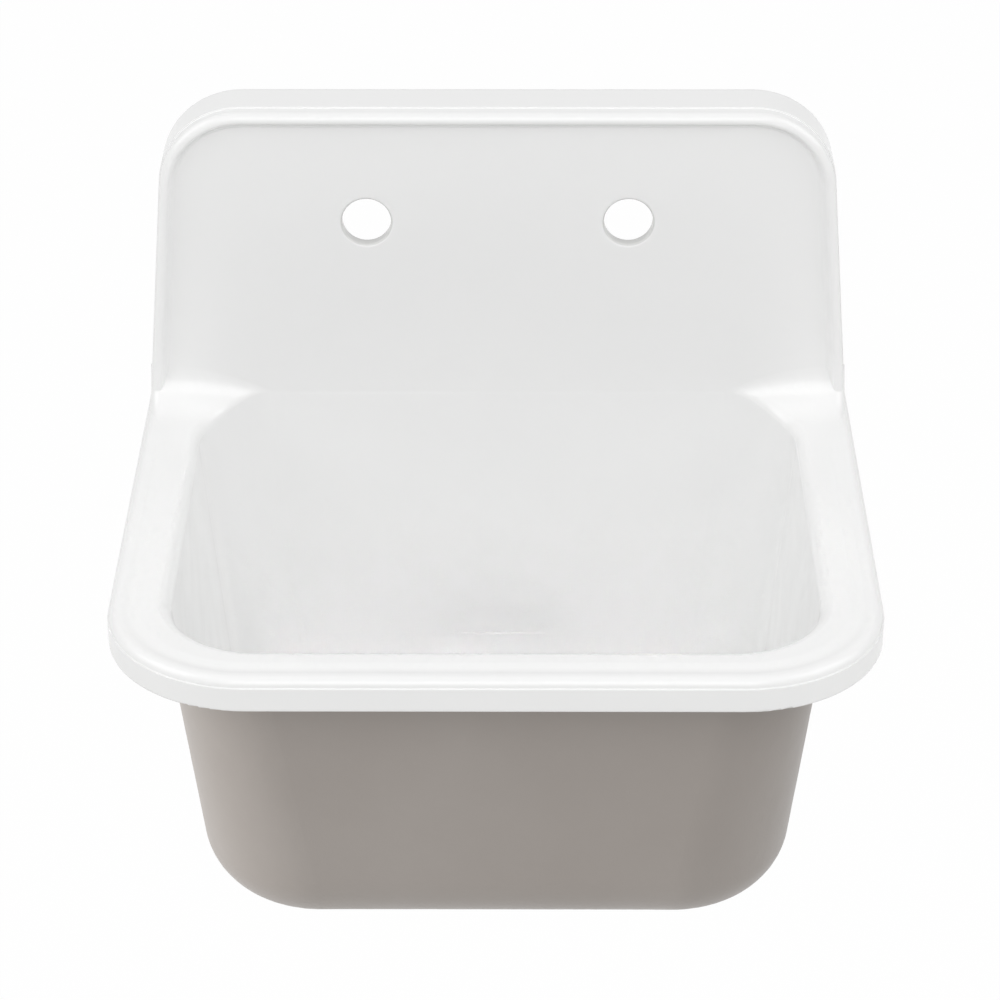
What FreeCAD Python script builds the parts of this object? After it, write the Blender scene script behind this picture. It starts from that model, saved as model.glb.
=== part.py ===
import FreeCAD, Part
import math
import os

from FreeCAD import Vector

# Wall-hung enamelled cast-iron sink. Millimetres, +Z up, wall plane at Y = 0, front towards -Y.
# The origin is the middle of the four wall screws of the hanger.

# Overall sizes of the sink
SINK_WIDTH = 559.0
SINK_DEPTH = 457.0
BACK_RISE = 251.0
RIM_BELOW_SCREWS = 60.0
RIM_CORNER_R = 105.0

# Enamel and iron thicknesses
ENAMEL = 1.2
WALL = 7.0
FLOOR = 8.0
DECK = 9.0
APRON_WALL = 7.0

# Rim section, measured inwards from the apron face and down from the crest
LIP_DROP = 26.0
LIP_R = 2.5
STEP_DROP = 6.6
STEP_BACK = 1.2
STEP_R = 0.5
RIM_BEAD_R = 6.0
RIM_BEAD_END = 9.5
GROOVE_AT = 16.5
GROOVE_DEPTH = 1.2
GROOVE_R = 16.0
GROOVE_END = 24.0
CREST_R = 20.0
RIM_STRIP = 40.0
LEDGE_FLAT = 3.0

# Backsplash
BACK_TOP_WIDTH = 513.4
BACK_CORNER_R = 65.0
PANEL_FACE = 42.0
PANEL_REAR = 33.0
FLANGE_WALL = 8.0
FLANGE_DEPTH = 35.0
BEAD_HEIGHT = 6.0
BEAD_R = 6.0
BEAD_FLAT_END = 8.8
BEAD_FOOT = 12.6
BEAD_INNER_R = 2.4
BEAD_FOOT_R = 3.0
BACK_STRIP = 22.0
COVE_R = 32.0
COVE_TIP_R = 10.0
COVE_END_R = 8.0
COVE_STATIONS = 9

# Faucet holes
FAUCET_SPACING = 203.2
FAUCET_HOLE_R = 19.05
FAUCET_ABOVE_RIM = 157.5
FAUCET_EDGE_R = 2.6

# Bowl, measured at the crest of the rim
BOWL_HALF_WIDTH = 235.0
BOWL_FRONT = 415.0
BOWL_BACK_STEP = 0.1
BOWL_MOUTH_RISE = 2.0
BOWL_DEPTH = 253.0
BOWL_DRAFT = 5.6
BOWL_REAR_DRAFT = 2.0
BOWL_FRONT_R = 68.0
BOWL_FOOT_R = 84.0
BOWL_REAR_R = 55.0
BOWL_FLOOR_R = 40.0
TUB_FLOOR_R = 53.0
ROLL_R = 9.0
RELIEF_R = 44.0
RELIEF_DEPTH = 1.5
RELIEF_TOP = 168.0

# Drain seat in the floor of the bowl
DRAIN_FROM_WALL = 156.0
DRAIN_HOLE_R = 44.5
SEAT_R = 59.0
SEAT_DEPTH = 4.0
BOSS_R = 66.0
BOSS_DROP = 6.0
BOSS_FOOT_R = 4.0

# Wall hanger: a steel Z-rail, and the cast tongues that hook over it
SCREW_SPACING_X = 406.4
SCREW_SPACING_Z = 32.0
HANGER_STEEL = 5.0
HANGER_EDGE = 16.0
HANGER_CHANNEL = 17.0
HANGER_LIP = 21.0
HANGER_BEND_R = 2.0
SCREW_R = 4.0
SCREW_SHANK_R = 3.4
SCREW_HOLE_CLEARANCE = 0.5
SCREW_IN_WALL = 58.0
SCREW_POINT = 9.0
SCREW_HEAD_FLATS = 13.0
SCREW_HEAD = 5.5
WASHER_R = 10.5
WASHER_HOLE_CLEARANCE = 0.4
WASHER = 1.6
TONGUE_SPACING = 340.0
TONGUE_WIDTH = 80.0
TONGUE_SEAT_GAP = 0.3
TONGUE_SIDE_GAP = 2.2
TONGUE_ROOT = 13.0
TONGUE_LIP_GAP = 3.0
TONGUE_R = 2.5

# Drain strainer
STRAINER_FLANGE_R = 57.0
STRAINER_FLANGE = 2.0
PUTTY = 1.5
CUP_R = 42.0
CUP_WALL = 2.0
CUP_DEPTH = 50.0
CUP_BEND_R = 6.0
THREAD_PITCH = 2.2
THREAD_DEPTH = 0.9
NECK_R = 23.9
NECK_BORE_R = 19.0
NECK_LENGTH = 22.0
CROSS_BAR = 4.0
CROSS_HUB_R = 6.5
GASKET = 4.0
GASKET_R = 57.0
FRICTION_RING = 1.0
THREAD_CLEARANCE = 0.2
LOCK_NUT = 11.0
LOCK_NUT_R = 54.0
LOCK_NUT_NOTCHES = 8
LOCK_NUT_NOTCH_R = 5.0

# Tailpiece
TAIL_R = 19.05
TAIL_WALL = 1.3
TAIL_LENGTH = 70.0
TAIL_FLANGE_R = 23.0
TAIL_FLANGE = 2.0
TAIL_DRAW = 0.6
TAIL_WASHER = 2.0
COUPLING_FLATS = 60.0
COUPLING_GRIP = 14.0
COUPLING_FLOOR = 6.0
COUPLING_CLEARANCE = 0.4

# Lift-out basket
BASKET_CLEARANCE = 0.8
BASKET_SHEET = 1.2
BASKET_TOP_DROP = 7.0
BASKET_TAPER = 5.0
BASKET_LIP = 2.4
BASKET_FLOOR_R = 5.0
BASKET_SLOTS = 24
BASKET_SLOT = 2.4
BASKET_SLOT_MARGIN = 8.0
BASKET_HOLES = 10
BASKET_HOLE_R = 2.6
BASKET_HOLE_RING = 21.0
STOPPER_R = 24.0
STOPPER = 5.0
STOPPER_GAP = 0.3
POST_R = 3.0
POST_FIT = 0.3
POST_BELOW_HUB = 3.0
NUT_FLATS = 9.0
NUT = 4.0
KNOB_R = 9.0
KNOB = 14.0

# Levels and planes that follow from the sizes above
RIM_Z = -RIM_BELOW_SCREWS
LIP_Z = RIM_Z - LIP_DROP
TOP_Z = RIM_Z + BACK_RISE
HALF = SINK_WIDTH / 2
FLOOR_Z = RIM_Z - BOWL_DEPTH
SEAT_Z = FLOOR_Z - SEAT_DEPTH
BOSS_Z = FLOOR_Z - FLOOR - BOSS_DROP
FAUCET_Z = RIM_Z + FAUCET_ABOVE_RIM
MOUTH_Z = RIM_Z + COVE_TIP_R + BOWL_MOUTH_RISE
DRAIN = Vector(0, -DRAIN_FROM_WALL, 0)
UP = Vector(0, 0, 1)
FORWARD = Vector(0, -1, 0)

# Share of the rim's roll and groove that fits on the ledge left between the bowl and the apron
LEDGE = min(HALF - BOWL_HALF_WIDTH, SINK_DEPTH - BOWL_FRONT)
RIM_FIT = min(1.0, LEDGE / (GROOVE_END + LEDGE_FLAT + ROLL_R))

HANGER_STEP_Z = SCREW_SPACING_Z / 2 + HANGER_EDGE
HANGER_SEAT_Z = HANGER_STEP_Z + HANGER_STEEL
HANGER_TOP_Z = HANGER_SEAT_Z + HANGER_LIP
HANGER_HALF = SCREW_SPACING_X / 2 + HANGER_EDGE


def inset(corners, distances):
    """Move each side of a closed counter-clockwise outline inwards and keep its roundings concentric.

    A corner is (a, b, radius). Side i runs from corner i to the next one and moves by distances[i].
    """
    count = len(corners)
    lines = []
    for i in range(count):
        a0, b0, _ = corners[i]
        a1, b1, _ = corners[(i + 1) % count]
        length = math.hypot(a1 - a0, b1 - b0)
        da, db = (a1 - a0) / length, (b1 - b0) / length
        shift = distances[i]
        lines.append((a0 - db * shift, b0 + da * shift, da, db))
    moved = []
    for i in range(count):
        pa, pb, pda, pdb = lines[i - 1]
        qa, qb, qda, qdb = lines[i]
        cross = pda * qdb - pdb * qda
        radius = corners[i][2]
        shift = max(distances[i - 1], distances[i], key=abs)
        if abs(cross) < 1e-9:
            moved.append((qa, qb, radius))
            continue
        along = ((qa - pa) * qdb - (qb - pb) * qda) / cross
        if radius > 0:
            radius = max(radius - shift if cross > 0 else radius + shift, 0.05)
        moved.append((pa + pda * along, pb + pdb * along, radius))
    return moved


def rounded(corners, place):
    """Closed wire through the corners, each rounded by its own radius; place turns (a, b) into a point.

    Roundings that would not fit on a short side are made smaller until they do.
    """
    count = len(corners)
    sides = []
    for i in range(count):
        a, b, _ = corners[i]
        na, nb, _ = corners[(i + 1) % count]
        length = math.hypot(na - a, nb - b)
        sides.append(((na - a) / length, (nb - b) / length, length))
    turns = []
    for i in range(count):
        ua, ub, _ = sides[i - 1]
        va, vb, _ = sides[i]
        turn = math.acos(max(-1.0, min(1.0, ua * va + ub * vb)))
        turns.append(turn if corners[i][2] > 0 and turn > 1e-6 else 0.0)
    wanted = [corners[i][2] * math.tan(turns[i] / 2) for i in range(count)]
    room = []
    for i in range(count):
        both = wanted[i] + wanted[(i + 1) % count]
        room.append(min(1.0, sides[i][2] / both) if both > 0 else 1.0)
    ends = []
    arcs = []
    for i in range(count):
        a, b, radius = corners[i]
        if turns[i] == 0.0:
            ends.append(((a, b), (a, b)))
            arcs.append(None)
            continue
        share = min(room[i - 1], room[i])
        reach = wanted[i] * share
        ua, ub, _ = sides[i - 1]
        va, vb, _ = sides[i]
        size = math.hypot(va - ua, vb - ub)
        depth = radius * share * (1 / math.cos(turns[i] / 2) - 1)
        ends.append(((a - ua * reach, b - ub * reach), (a + va * reach, b + vb * reach)))
        arcs.append((a + (va - ua) / size * depth, b + (vb - ub) / size * depth))
    edges = []
    for i in range(count):
        start, stop = ends[i]
        if arcs[i] is not None:
            edges.append(Part.Arc(place(*start), place(*arcs[i]), place(*stop)).toShape())
        follow = ends[(i + 1) % count][0]
        if math.hypot(follow[0] - stop[0], follow[1] - stop[1]) > 1e-6:
            edges.append(Part.makeLine(place(*stop), place(*follow)))
    return Part.Wire(edges)


def level(z):
    """Plan placement: (a, b) is (X, Y) at height z."""
    return lambda a, b: Vector(a, b, z)


def upright(y):
    """Elevation placement: (a, b) is (X, Z) at distance y."""
    return lambda a, b: Vector(a, y, b)


def across(x):
    """Side placement: (a, b) is (Y, Z) at distance x."""
    return lambda a, b: Vector(x, a, b)


def prism(wire, travel):
    """Solid swept by a closed flat wire along a vector."""
    return Part.Face(wire).extrude(travel)


def edges_along(shape, guide, reach=1e-4):
    """Edges of a shape that lie on a guide wire or shell along their whole length."""
    found = []
    for edge in shape.Edges:
        first, last = edge.ParameterRange
        probes = [edge.valueAt(first + (last - first) * part) for part in (0.03, 0.5, 0.97)]
        if all(guide.distToShape(Part.Vertex(probe))[0] < reach for probe in probes):
            found.append(edge)
    return found


def swept_border(path, normal, profile):
    """Sweep a section along an open path of straight runs and rounded corners.

    The path is a list of (point, radius) in one plane, with the inside on its left seen from the
    normal. The section is a list of (inwards, along the normal, radius) corners.
    """
    count = len(path)
    stations = []
    for i in range(count):
        point, radius = path[i]
        if i in (0, count - 1):
            stations.append((point, point, None, 0.0))
            continue
        before = (point - path[i - 1][0]).normalize()
        after = (path[i + 1][0] - point).normalize()
        turn = before.getAngle(after)
        reach = radius * math.tan(turn / 2)
        start = point - before * reach
        centre = start + normal.cross(before) * radius
        stations.append((start, point + after * reach, centre, turn))
    pieces = []
    for i in range(count - 1):
        start = stations[i][1]
        stop = stations[i + 1][0]
        heading = (stop - start).normalize()
        inward = normal.cross(heading)

        def place(a, b, base=start, side=inward):
            return base + side * a + normal * b

        pieces.append(prism(rounded(profile, place), stop - start))
        centre, turn = stations[i + 1][2], stations[i + 1][3]
        if centre is not None:
            def place_end(a, b, base=stop, side=inward):
                return base + side * a + normal * b

            face = Part.Face(rounded(profile, place_end))
            pieces.append(face.revolve(centre, normal, math.degrees(turn)))
    return pieces[0].multiFuse(pieces[1:]).removeSplitter()


def turned(profile, axis=DRAIN):
    """Solid of revolution about an upright axis from (radius, height, rounding) corners."""
    wire = rounded(profile, lambda a, b: axis + Vector(a, 0, b))
    return Part.Face(wire).revolve(axis, UP, 360)


def ring(inner, outer, low, high, rounding=0.0):
    """Flat turned ring with lightly rounded edges."""
    return turned([(inner, low, rounding), (outer, low, rounding), (outer, high, rounding),
                   (inner, high, rounding)])


def hexagon(centre, direction, flats, height):
    """Hexagonal prism with its flats a given distance apart."""
    reach = flats / 2 / math.cos(math.pi / 6)
    side = UP if abs(direction.z) < 0.5 else Vector(1, 0, 0)
    other = direction.cross(side)
    points = []
    for step in range(7):
        angle = math.radians(60 * step)
        points.append(centre + side * (reach * math.cos(angle)) + other * (reach * math.sin(angle)))
    return prism(Part.makePolygon(points), direction * height)


def ridges(radius, low, high, outwards=True):
    """Corner list of a threaded edge, climbing from low to high in even ridges."""
    count = max(2, int((high - low) / THREAD_PITCH))
    pitch = (high - low) / count
    depth = -THREAD_DEPTH if outwards else THREAD_DEPTH
    corners = []
    for step in range(count):
        base = low + step * pitch
        corners.append((radius + depth, base, 0))
        corners.append((radius, base + pitch * 0.4, 0))
        corners.append((radius, base + pitch * 0.6, 0))
    corners.append((radius + depth, high, 0))
    return corners


def back_outline():
    """Outline of the backsplash, down to the lip of the rim."""
    half_top = BACK_TOP_WIDTH / 2
    return [(-HALF, LIP_Z, 0), (HALF, LIP_Z, 0), (half_top, TOP_Z, BACK_CORNER_R),
            (-half_top, TOP_Z, BACK_CORNER_R)]


def rim_outline():
    """Plan of the rim, back to the wall."""
    return [(-HALF, -SINK_DEPTH, RIM_CORNER_R), (HALF, -SINK_DEPTH, RIM_CORNER_R), (HALF, 0, 0),
            (-HALF, 0, 0)]


def border(skin):
    """Flange and raised bead round the top and sides of the backsplash.

    The step line behind the bead is formed in the enamel alone.
    """
    crest = PANEL_FACE + BEAD_HEIGHT
    section = [(FLANGE_WALL, 0, 0), (FLANGE_WALL, PANEL_REAR, BEAD_FOOT_R),
               (BACK_STRIP, PANEL_REAR, 0), (BACK_STRIP, PANEL_FACE, 0),
               (BEAD_FOOT, PANEL_FACE, BEAD_FOOT_R), (BEAD_FLAT_END, crest, BEAD_INNER_R),
               (STEP_BACK, crest, BEAD_R)]
    if skin:
        section.append((STEP_BACK, 0, 0))
    else:
        section += [(STEP_BACK, FLANGE_DEPTH, STEP_R), (0, FLANGE_DEPTH, STEP_R), (0, 0, 0)]
    section = inset_section(section, skin, [FLANGE_WALL, BACK_STRIP], [0, PANEL_REAR])
    lean = (HALF - BACK_TOP_WIDTH / 2) / (TOP_Z - LIP_Z)
    low = LIP_Z - BACK_STRIP
    foot = HALF + lean * BACK_STRIP
    half_top = BACK_TOP_WIDTH / 2
    path = [(Vector(foot, 0, low), 0), (Vector(half_top, 0, TOP_Z), BACK_CORNER_R),
            (Vector(-half_top, 0, TOP_Z), BACK_CORNER_R), (Vector(-foot, 0, low), 0)]
    frame = swept_border(path, FORWARD, section)
    below = Part.makeBox(4 * HALF, 4 * PANEL_FACE, 4 * BACK_STRIP,
                         Vector(-2 * HALF, -2 * PANEL_FACE, LIP_Z - 4 * BACK_STRIP))
    return frame.cut(below)


def inset_section(section, skin, bare_in, bare_along):
    """Take the enamel thickness off the finished sides of a section.

    Sides that lie on one of the bare lines, inwards or along, stay where they are.
    """
    distances = []
    for i in range(len(section)):
        a0, b0, _ = section[i]
        a1, b1, _ = section[(i + 1) % len(section)]
        bare = any(abs(a0 - line) < 1e-6 and abs(a1 - line) < 1e-6 for line in bare_in)
        bare = bare or any(abs(b0 - line) < 1e-6 and abs(b1 - line) < 1e-6 for line in bare_along)
        distances.append(0.0 if bare else skin)
    return inset(section, distances)


def rim(skin):
    """Rolled rim: apron, outer bead, shallow groove and the flat strip inside it.

    The step line between bead and apron is formed in the enamel alone.
    """
    section = [(APRON_WALL, -LIP_DROP, 0), (APRON_WALL, -DECK, LIP_R), (RIM_STRIP, -DECK, 0),
               (RIM_STRIP, 0, 0), (GROOVE_END * RIM_FIT, 0, CREST_R),
               (GROOVE_AT * RIM_FIT, -GROOVE_DEPTH * RIM_FIT, GROOVE_R),
               (RIM_BEAD_END * RIM_FIT, 0, CREST_R), (STEP_BACK * RIM_FIT, 0, RIM_BEAD_R)]
    if skin:
        section.append((STEP_BACK * RIM_FIT, -LIP_DROP, 0))
    else:
        section += [(STEP_BACK * RIM_FIT, -STEP_DROP, STEP_R), (0, -STEP_DROP, STEP_R),
                    (0, -LIP_DROP, LIP_R)]
    section = inset_section(section, skin, [APRON_WALL, RIM_STRIP], [-LIP_DROP, -DECK])
    path = [(Vector(-HALF, 0, RIM_Z), 0), (Vector(-HALF, -SINK_DEPTH, RIM_Z), RIM_CORNER_R),
            (Vector(HALF, -SINK_DEPTH, RIM_Z), RIM_CORNER_R), (Vector(HALF, 0, RIM_Z), 0)]
    return swept_border(path, UP, section)


def deck(skin):
    """Flat of the rim between the rolled strip and the bowl."""
    lap = (GROOVE_END + RIM_STRIP) / 2
    plan = inset(rim_outline(), [lap, lap, PANEL_REAR, lap])
    return prism(rounded(plan, level(RIM_Z - DECK)), UP * (DECK - skin))


def panel(skin):
    """Flat of the backsplash inside its bead."""
    lap = (BEAD_FOOT + BACK_STRIP) / 2
    outline = inset(back_outline(), [0, lap, lap, lap])
    return prism(rounded(outline, upright(-PANEL_REAR)), FORWARD * (PANEL_FACE - PANEL_REAR - skin))


def cove_section(x, radius, skin):
    """Closed section of the cove at a distance from the middle: a concave arc over a buried root."""
    face = -(PANEL_FACE - skin)
    top = RIM_Z - skin
    root = 3 * COVE_END_R
    centre = Vector(x, -PANEL_FACE - radius, RIM_Z + radius)
    middle = Vector(0, math.cos(math.pi / 4), -math.sin(math.pi / 4)) * (radius + skin)
    high = Vector(x, face, centre.z)
    low = Vector(x, centre.y, top)
    arc = Part.Arc(high, centre + middle, low).toShape()
    lines = [Part.makeLine(low, low - UP * root),
             Part.makeLine(low - UP * root, Vector(x, face + root, top - root)),
             Part.makeLine(Vector(x, face + root, top - root), Vector(x, face + root, centre.z)),
             Part.makeLine(Vector(x, face + root, centre.z), high)]
    return Part.Wire([arc] + lines), arc


def cove(skin):
    """Concave run where the backsplash meets the rim.

    It is rounded off at its outer ends and dies out towards the bowl, whose back wall runs on from the
    backsplash.
    """
    lean = (HALF - BACK_TOP_WIDTH / 2) / (TOP_Z - LIP_Z)
    half = HALF - lean * (RIM_Z + COVE_R / 2 - LIP_Z) - skin
    tip = BOWL_HALF_WIDTH - BOWL_REAR_R
    full = half - 2 * COVE_END_R
    pieces = [prism(cove_section(-tip, COVE_TIP_R, skin)[0], Vector(2 * tip, 0, 0))]
    for side in (-1, 1):
        sections = []
        for station in range(COVE_STATIONS):
            part = station / (COVE_STATIONS - 1)
            radius = COVE_TIP_R + (COVE_R - COVE_TIP_R) * math.sin(part * math.pi / 2)
            sections.append(cove_section(side * (tip + (full - tip) * part), radius, skin)[0])
        pieces.append(Part.makeLoft(sections, True, False))
        wire, _ = cove_section(side * full, COVE_R, skin)
        run = prism(wire, Vector(side * (half - full), 0, 0))
        end = cove_section(side * half, COVE_R, skin)[1]
        pieces.append(run.makeFillet(COVE_END_R - skin, edges_along(run, end)))
    body = pieces[0].multiFuse(pieces[1:])
    lap = (PANEL_FACE + PANEL_REAR) / 2
    keep = Part.makeBox(4 * half, 4 * COVE_R, 4 * COVE_R,
                        Vector(-2 * half, -lap - 4 * COVE_R, RIM_Z - DECK / 2))
    return body.common(keep)


def bowl_plan(z, swell):
    """Plan of the bowl at a height, swollen outwards by a wall or enamel thickness."""
    rear = -PANEL_FACE - BOWL_BACK_STEP
    corners = [(-BOWL_HALF_WIDTH, -BOWL_FRONT, 0), (BOWL_HALF_WIDTH, -BOWL_FRONT, 0),
               (BOWL_HALF_WIDTH, rear, 0), (-BOWL_HALF_WIDTH, rear, 0)]
    front_r = BOWL_FRONT_R + (BOWL_FOOT_R - BOWL_FRONT_R) * (RIM_Z - z) / BOWL_DEPTH
    radii = [front_r, front_r, BOWL_REAR_R, BOWL_REAR_R]
    shifts = []
    for draft, start in ((BOWL_DRAFT, RIM_Z), (BOWL_DRAFT, RIM_Z), (BOWL_REAR_DRAFT, MOUTH_Z),
                         (BOWL_DRAFT, RIM_Z)):
        lean = math.radians(draft)
        shifts.append((start - z) * math.tan(lean) - swell / math.cos(lean))
    return [(a, b, radius + swell) for (a, b, _), radius in zip(inset(corners, shifts), radii)]


def bowl_form(swell, top, bottom, floor_r):
    """Drafted bowl with rounded corners and a rounded floor."""
    foot = rounded(bowl_plan(bottom, swell), level(bottom))
    mouth = rounded(bowl_plan(top, swell), level(top))
    form = Part.makeLoft([foot, mouth], True, True)
    return form.makeFillet(floor_r, edges_along(form, foot))


def back_hollow():
    """Space behind the rim and between the side flanges, open to the wall."""
    lean = (HALF - BACK_TOP_WIDTH / 2) / (TOP_Z - LIP_Z)
    inner = HALF - FLANGE_WALL * math.hypot(1, lean)
    low = LIP_Z - DECK
    high = RIM_Z + DECK
    outline = [(-inner - lean * DECK, low, 0), (inner + lean * DECK, low, 0),
               (inner - lean * (high - LIP_Z), high, 0), (lean * (high - LIP_Z) - inner, high, 0)]
    return prism(rounded(outline, upright(PANEL_REAR)), FORWARD * (2 * PANEL_REAR))


def wall_relief(skin):
    """Shallow half-round dish in the back wall of the bowl, over the drain."""
    radius = (RELIEF_R ** 2 + RELIEF_DEPTH ** 2) / (2 * RELIEF_DEPTH)
    height = RIM_Z - RELIEF_TOP - RELIEF_R
    wall = -PANEL_FACE - BOWL_BACK_STEP - (MOUTH_Z - height) * math.tan(math.radians(BOWL_REAR_DRAFT))
    ball = Part.makeSphere(radius + skin, Vector(0, wall + RELIEF_DEPTH - radius, height))
    low = FLOOR_Z + BOWL_FLOOR_R + RELIEF_DEPTH - skin
    keep = Part.makeBox(4 * RELIEF_R, BOWL_FLOOR_R, 2 * RELIEF_R,
                        Vector(-2 * RELIEF_R, wall - BOWL_FLOOR_R / 2, low))
    return ball.common(keep)


def faucet_holes(skin):
    """Cutters for the two faucet holes, flared where they meet the face of the panel."""
    radius = FAUCET_HOLE_R + skin
    face = PANEL_FACE - skin
    flare = FAUCET_EDGE_R - skin
    cutters = []
    for side in (-1, 1):
        base = Vector(side * FAUCET_SPACING / 2, 0, FAUCET_Z)
        section = [(0, 0, 0), (radius, 0, 0), (radius, face, flare), (radius + 2 * flare, face, 0),
                   (radius + 2 * flare, face + BEAD_HEIGHT, 0), (0, face + BEAD_HEIGHT, 0)]
        wire = rounded(section, lambda a, b: base + Vector(a, -b, 0))
        cutters.append(Part.Face(wire).revolve(base, FORWARD, 360))
    return cutters


def drain_opening(skin):
    """Cutter for the drain hole and the recess the strainer flange sits in."""
    hole = DRAIN_HOLE_R + skin
    seat = SEAT_R + skin
    floor = FLOOR_Z - skin
    lead = SEAT_DEPTH / 2
    return turned([(0, BOSS_Z - BOSS_DROP, 0), (hole, BOSS_Z - BOSS_DROP, 0), (hole, SEAT_Z - skin, 0),
                   (seat, SEAT_Z - skin, 0.8 + skin), (seat, floor, lead - skin / 2),
                   (seat + 2 * lead, floor, 0), (seat + 2 * lead, floor + lead, 0), (0, floor + lead, 0)])


def tongues():
    """Two cast hooks behind the backsplash that drop behind the lip of the hanger."""
    hooks = []
    root_low = HANGER_TOP_Z + TONGUE_LIP_GAP
    root_high = root_low + TONGUE_ROOT
    front = -PANEL_REAR - (PANEL_FACE - PANEL_REAR) / 3
    section = [(front, root_low, 0), (-HANGER_CHANNEL + TONGUE_SIDE_GAP, root_low, TONGUE_R),
               (-HANGER_CHANNEL + TONGUE_SIDE_GAP, HANGER_SEAT_Z + TONGUE_SEAT_GAP, TONGUE_R),
               (-TONGUE_SIDE_GAP, HANGER_SEAT_Z + TONGUE_SEAT_GAP, TONGUE_R),
               (-TONGUE_SIDE_GAP, root_high, TONGUE_R), (front, root_high + TONGUE_ROOT, 0)]
    for side in (-1, 1):
        start = side * TONGUE_SPACING / 2 - TONGUE_WIDTH / 2
        hooks.append(prism(rounded(section, across(start)), Vector(TONGUE_WIDTH, 0, 0)))
    return hooks


def casting(skin):
    """Whole sink less its enamel thickness on every finished face."""
    shell = border(skin).multiFuse([panel(skin), rim(skin), deck(skin), cove(skin)]).cut(back_hollow())
    tub = bowl_form(WALL, RIM_Z - DECK / 2, FLOOR_Z - FLOOR, TUB_FLOOR_R)
    boss = turned([(0, BOSS_Z, 0), (BOSS_R, BOSS_Z, BOSS_FOOT_R / 2), (BOSS_R, FLOOR_Z - FLOOR / 2, 0),
                   (0, FLOOR_Z - FLOOR / 2, 0)])
    body = shell.multiFuse([tub, boss]).removeSplitter()
    bowl = bowl_form(skin, MOUTH_Z, FLOOR_Z - skin, BOWL_FLOOR_R + skin)
    body = body.cut(bowl)
    brink = []
    for edge in edges_along(body, bowl.Shells[0], 1e-3):
        if edge.BoundBox.ZMin > RIM_Z - skin - 1e-3:
            brink.append(edge)
    body = body.makeFillet(ROLL_R * RIM_FIT - skin, brink)
    body = body.multiFuse(tongues()).removeSplitter()
    return body.cut(faucet_holes(skin) + [drain_opening(skin), wall_relief(skin)])


def enamel_coat(iron):
    """Enamel on the finished faces: what the whole sink has over the iron, as one shell."""
    coat = casting(0.0).cut(iron)
    return max(coat.Solids, key=lambda solid: solid.Volume)


def wall_hanger():
    """Bent steel rail: plate on the wall, step forwards, lip upwards."""
    outer = HANGER_BEND_R + HANGER_STEEL
    front = HANGER_CHANNEL + HANGER_STEEL
    foot = -SCREW_SPACING_Z / 2 - HANGER_EDGE
    section = [(0, foot, 0), (0, HANGER_SEAT_Z, outer), (-HANGER_CHANNEL, HANGER_SEAT_Z, HANGER_BEND_R),
               (-HANGER_CHANNEL, HANGER_TOP_Z, 1.0), (-front, HANGER_TOP_Z, 1.0),
               (-front, HANGER_STEP_Z, outer), (-HANGER_STEEL, HANGER_STEP_Z, HANGER_BEND_R),
               (-HANGER_STEEL, foot, 0)]
    rail = prism(rounded(section, across(-HANGER_HALF)), Vector(2 * HANGER_HALF, 0, 0))
    cutters = []
    for base in screw_places():
        cutters.append(Part.makeCylinder(SCREW_R + SCREW_HOLE_CLEARANCE, 4 * HANGER_STEEL,
                                         base - FORWARD * HANGER_STEEL, FORWARD))
    return rail.cut(cutters)


def screw_places():
    """Centres of the four wall screws on the wall plane."""
    places = []
    for x in (-SCREW_SPACING_X / 2, SCREW_SPACING_X / 2):
        for z in (-SCREW_SPACING_Z / 2, SCREW_SPACING_Z / 2):
            places.append(Vector(x, 0, z))
    return places


def hanger_screws():
    """Four hex-head lag screws, slimmer in the rail than in the wall."""
    screws = []
    under_head = HANGER_STEEL + WASHER
    for base in screw_places():
        section = [(0, -SCREW_IN_WALL, 0), (SCREW_R, SCREW_POINT - SCREW_IN_WALL, 0), (SCREW_R, 0, 0),
                   (SCREW_SHANK_R, 0, 0), (SCREW_SHANK_R, under_head + SCREW_HEAD / 2, 0),
                   (0, under_head + SCREW_HEAD / 2, 0)]
        wire = rounded(section, lambda a, b: base + Vector(a, -b, 0))
        shank = Part.Face(wire).revolve(base, FORWARD, 360)
        head = hexagon(base + FORWARD * under_head, FORWARD, SCREW_HEAD_FLATS, SCREW_HEAD)
        dome = Part.makeCone(SCREW_HEAD_FLATS / 2 + SCREW_HEAD, SCREW_HEAD_FLATS / 2 - 0.6, SCREW_HEAD,
                             base + FORWARD * under_head, FORWARD)
        screws.append(shank.fuse(head.common(dome)).removeSplitter())
    return Part.makeCompound(screws)


def hanger_washers():
    """Four flat washers between rail and screw heads."""
    washers = []
    for base in screw_places():
        start = base + FORWARD * HANGER_STEEL
        disc = Part.makeCylinder(WASHER_R, WASHER, start, FORWARD)
        hole = Part.makeCylinder(SCREW_R + WASHER_HOLE_CLEARANCE, WASHER, start, FORWARD)
        washers.append(disc.cut(hole))
    return Part.makeCompound(washers)


def strainer_levels():
    """Heights of the strainer's flange, cup floor and neck end."""
    flange_low = SEAT_Z + PUTTY
    cup_low = FLOOR_Z - CUP_DEPTH
    neck_low = cup_low - NECK_LENGTH
    return flange_low, cup_low, neck_low


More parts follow.
